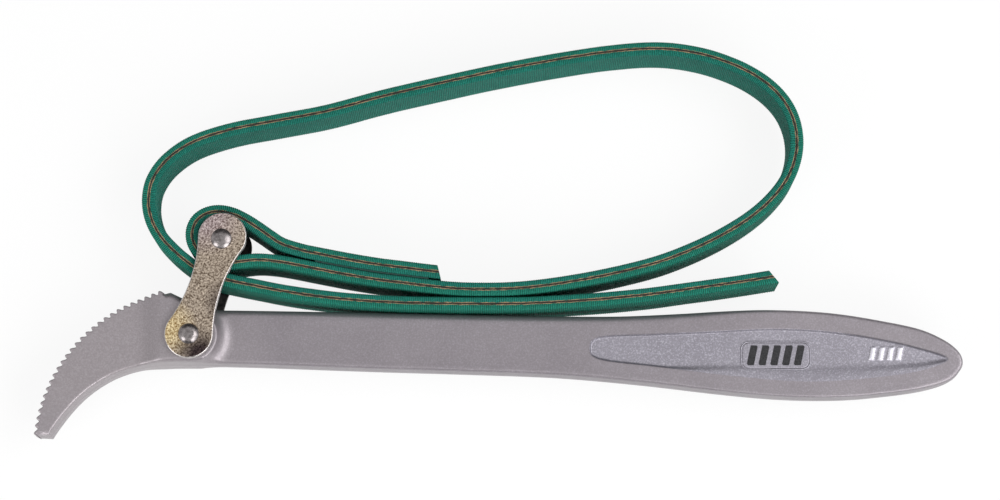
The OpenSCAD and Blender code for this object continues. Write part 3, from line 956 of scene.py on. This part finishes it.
def ply_section(near, far, seed):
    """Section of one ply between its face by the core and its ribbed outer face."""
    side = 1 if far > near else -1
    half = STRAP_W / 2

    def section(s):
        beat = np.where(np.arange(len(s)) % 2 == 0, 1.0, -1.0)
        rib = 0.08 * beat
        drift = 0.05 * wobble(s, 9, seed)
        edge = 0.06 * wobble(s, 3.1, seed + 4) + 0.05 * beat
        face = far + side * (rib + drift * 0.6 - 0.08)
        soft = face - side * 0.25
        low = near + 0 * s
        rows = [(low, half - 0.12), (near + side * 0.25 + 0 * s, half), (soft - side * 0.3, half),
                (soft, half - 0.1), (face - side * 0.06, half - 0.32), (face, half - 0.75)]
        out = [(o, h + edge) for o, h in rows]
        bulge = [(face + side * 0.03 * wobble(s, 5, seed + k), z + 0 * s)
                 for k, z in enumerate((6.2, 3.1, 0, -3.1, -6.2))]
        out += bulge
        out += [(o, -h - edge) for o, h in reversed(rows)]
        return out if side < 0 else out[::-1]
    return section


def core_section():
    """Section of the dark core, whose uneven edges are about level with the plies' edges."""
    half = STRAP_W / 2

    def section(s):
        left = CORE_T / 2 - 0.02 + 0.07 * wobble(s, 1.6, 11.2)
        right = -CORE_T / 2 + 0.02 + 0.07 * wobble(s, 1.6, 15.9)
        lift = half + 0.02 + 0.04 * wobble(s, 1.1, 21)
        return [(right, lift - 0.04), (0.5 * (left + right), lift), (left, lift - 0.04),
                (left, -lift + 0.04), (0.5 * (left + right), -lift), (right, -lift + 0.04)][::-1]
    return section


def scrim_section(side, seed):
    """A thin wavy yarn layer that just shows beside the core on both edges of the strap."""
    half = STRAP_W / 2

    def section(s):
        sway = 0.12 * wobble(s, 1.0, seed) + 0.08 * wobble(s, 3.2, seed + 3)
        centre = side * (CORE_T / 2 + SCRIM_T / 2 + 0.05 + sway)
        body = np.clip(0.085 + 0.14 * wobble(s, 1.7, seed + 6), 0.015, None)
        lift = half + 0.03 + 0.1 * wobble(s, 1.1, seed + 9)
        near, far = centre - body, centre + body
        return [(near, lift - 0.05), (centre, lift), (far, lift - 0.05),
                (far, -lift + 0.05), (centre, -lift), (near, -lift + 0.05)]
    return section


def make_bond():
    """The bond between the doubled short end and the running strap; its dark colour is painted shade
    for the shadow line between them.
    """
    loop = smooth(LOOP_POINTS, LOOP_STEPS)
    half_span = LOOP_STEPS // 2
    zone = respaced(loop[half_span:int(DOUBLED_SPANS * LOOP_STEPS) - half_span + 1], 1.0)
    s = lengths(zone)
    n = left_of(headings(zone))
    half = STRAP_W / 2 - 0.35 + 0.08 * wobble(s, 2.5, 41)
    near, far = STRAP_T / 2 - 0.03, STRAP_T / 2 + BOND_T + 0.03
    verts, faces = [], []
    for i in range(len(zone)):
        for offset, z in ((near, half[i]), (far, half[i]), (far, -half[i]), (near, -half[i])):
            q = zone[i] + n[i] * offset
            verts.append((q[0], q[1], MID_Z + z))
    for a in range(0, 4 * (len(zone) - 1), 4):
        faces += [(a + k, a + 4 + k, a + 4 + (k + 1) % 4, a + (k + 1) % 4) for k in range(4)]
    faces.append((0, 1, 2, 3))
    last = 4 * (len(zone) - 1)
    faces.append((last + 3, last + 2, last + 1, last))
    add_mesh("eye_bond_layer", verts, faces, BOND, "strap", ["eye_bond"])


def make_strap():
    """Two plies, the core and a yarn layer on each side of it, and the bond."""
    route = strap_route()
    inside = CORE_T / 2 + SCRIM_T * 0.3
    sweep("strap_outer_webbing", route, ply_section(-inside, -STRAP_T / 2, 5.3), GREEN_OUTER,
          ["strap_outer_ply"])
    sweep("strap_inner_webbing", route, ply_section(inside, STRAP_T / 2, 9.1), GREEN_INNER,
          ["strap_inner_ply"])
    sweep("strap_dark_core", route, core_section(), CORE, ["strap_core"])
    sweep("strap_yarn_outer", route, scrim_section(-1, 31.0), YARN,
          ["strap_scrim_outer"])
    sweep("strap_yarn_inner", route, scrim_section(1, 57.0), YARN,
          ["strap_scrim_inner"])
    make_bond()


make_handle()
make_badge()
make_badge_mark()
make_plate("front_link_plate", "link_plate_front", 1)
make_plate("rear_link_plate", "link_plate_rear", -1)
make_rivet("pivot_rivet_peened", "pivot_rivet", np.zeros(2), 1.7)
make_rivet("eye_rivet_peened", "eye_rivet", EYE, 1.25)
make_sleeve()
make_strap()


# ---------------------------------------------------------------- studio
def seen_ray(tree):
    """1 for a ray that is seen directly, in a gloss or through glass, and 0 for soft light."""
    path = tree.nodes.new("ShaderNodeLightPath")
    seen = path.outputs["Is Camera Ray"]
    for other in ("Is Glossy Ray", "Is Transmission Ray"):
        either = tree.nodes.new("ShaderNodeMath")
        either.operation = "MAXIMUM"
        tree.links.new(seen, either.inputs[0])
        tree.links.new(path.outputs[other], either.inputs[1])
        seen = either.outputs[0]
    return seen


def seen_only_white(name, strength, diffuse):
    """Pale matte surface that seen rays find mostly plain white."""
    mat = bpy.data.materials.new(name)
    mat.use_nodes = True
    tree = mat.node_tree
    tree.nodes.clear()
    out = tree.nodes.new("ShaderNodeOutputMaterial")
    matte = tree.nodes.new("ShaderNodeBsdfDiffuse")
    matte.inputs["Color"].default_value = (diffuse, diffuse, diffuse, 1)
    glow = tree.nodes.new("ShaderNodeEmission")
    glow.inputs["Strength"].default_value = strength
    both = tree.nodes.new("ShaderNodeMixShader")
    both.inputs[0].default_value = 0.88
    pick = tree.nodes.new("ShaderNodeMixShader")
    tree.links.new(seen_ray(tree), pick.inputs[0])
    tree.links.new(matte.outputs[0], both.inputs[1])
    tree.links.new(glow.outputs[0], both.inputs[2])
    tree.links.new(matte.outputs[0], pick.inputs[1])
    tree.links.new(both.outputs[0], pick.inputs[2])
    tree.links.new(pick.outputs[0], out.inputs["Surface"])
    return mat


def make_floor():
    """A wide pale floor just under the wrench."""
    mesh = bpy.data.meshes.new("floor")
    size = 4.0
    mesh.from_pydata([(-size, -size, 0), (size, -size, 0), (size, size, 0), (-size, size, 0)],
                     [], [(0, 1, 2, 3)])
    mesh.materials.append(seen_only_white("pale_floor", 1.0, 0.85))
    floor = bpy.data.objects.new("floor", mesh)
    bpy.context.scene.collection.objects.link(floor)
    floor.location.z = -0.0002


def make_world():
    """White where it is seen; as soft light, brightest above and towards the camera's side."""
    world = bpy.data.worlds.new("studio")
    bpy.context.scene.world = world
    world.use_nodes = True
    tree = world.node_tree
    soft = tree.nodes["Background"]
    soft.inputs["Color"].default_value = (1, 1, 1, 1)
    where = tree.nodes.new("ShaderNodeTexCoord")
    toward = tree.nodes.new("ShaderNodeVectorMath")
    toward.operation = "DOT_PRODUCT"
    toward.inputs[1].default_value = (0.2, -0.45, 0.87)
    level = tree.nodes.new("ShaderNodeMapRange")
    level.interpolation_type = "SMOOTHSTEP"
    for key, value in (("From Min", -0.35), ("From Max", 1.0), ("To Min", 0.04), ("To Max", 0.85)):
        level.inputs[key].default_value = value
    tree.links.new(where.outputs["Generated"], toward.inputs[0])
    tree.links.new(toward.outputs["Value"], level.inputs["Value"])
    tree.links.new(level.outputs["Result"], soft.inputs["Strength"])
    white = tree.nodes.new("ShaderNodeBackground")
    white.inputs["Strength"].default_value = 1.0
    pick = tree.nodes.new("ShaderNodeMixShader")
    tree.links.new(seen_ray(tree), pick.inputs[0])
    tree.links.new(soft.outputs[0], pick.inputs[1])
    tree.links.new(white.outputs[0], pick.inputs[2])
    tree.links.new(pick.outputs[0], tree.nodes["World Output"].inputs["Surface"])


def make_dark_card(name, width, away, low, high):
    """An upright dark card that no camera ray sees; the wrench's rounded edges reflect it.

    away is its place in Y, and low and high are its lower and upper edges."""
    mesh = bpy.data.meshes.new(name)
    mesh.from_pydata([(-width / 2, away, low), (width / 2, away, low), (width / 2, away, high),
                      (-width / 2, away, high)], [], [(0, 1, 2, 3)])
    mat = bpy.data.materials.new(name)
    mat.use_nodes = True
    shade = mat.node_tree.nodes["Principled BSDF"]
    shade.inputs["Base Color"].default_value = (0.02, 0.02, 0.02, 1)
    mesh.materials.append(mat)
    card = bpy.data.objects.new(name, mesh)
    bpy.context.scene.collection.objects.link(card)
    card.location.x = 0.1
    card.visible_camera = False


def make_lamp(name, location, target, size, power):
    """A rectangular softbox that points at target."""
    lamp = bpy.data.lights.new(name, "AREA")
    lamp.shape = "RECTANGLE"
    lamp.size, lamp.size_y = size
    lamp.energy = power
    obj = bpy.data.objects.new(name, lamp)
    bpy.context.scene.collection.objects.link(obj)
    obj.location = location
    obj.rotation_euler = (Vector(target) - Vector(location)).to_track_quat("-Z", "Y").to_euler()


def make_camera():
    """A long lens above the wrench, tilted a little so that the handle's lower side shows."""
    data = bpy.data.cameras.new("camera")
    data.lens = 110.5
    data.sensor_width = 36
    data.clip_end = 20
    camera = bpy.data.objects.new("camera", data)
    bpy.context.scene.collection.objects.link(camera)
    tilt, reach = math.radians(9.92), 0.9945
    aim = Vector((0.09923, 0.02912, MID_Z * MM))
    camera.location = aim + reach * Vector((0, -math.sin(tilt), math.cos(tilt)))
    camera.rotation_euler = (tilt, 0, 0)
    bpy.context.scene.camera = camera


make_floor()
make_world()
make_dark_card("far_card", 1.6, 0.55, 0, 0.5)
make_dark_card("near_card", 1.5, -1.4, 0.1, 0.75)
make_lamp("softbox_front_right", (0.7, -0.85, 0.75), (0.05, 0, 0), (0.7, 0.7), 7.5)
make_lamp("softbox_front_left", (-0.75, -0.6, 0.65), (0, 0, 0), (0.5, 0.5), 4)
make_lamp("softbox_right", (1.0, 0.05, 0.95), (0, 0, 0.01), (0.9, 0.8), 8)
make_camera()
bpy.context.scene.view_settings.view_transform = "Standard"
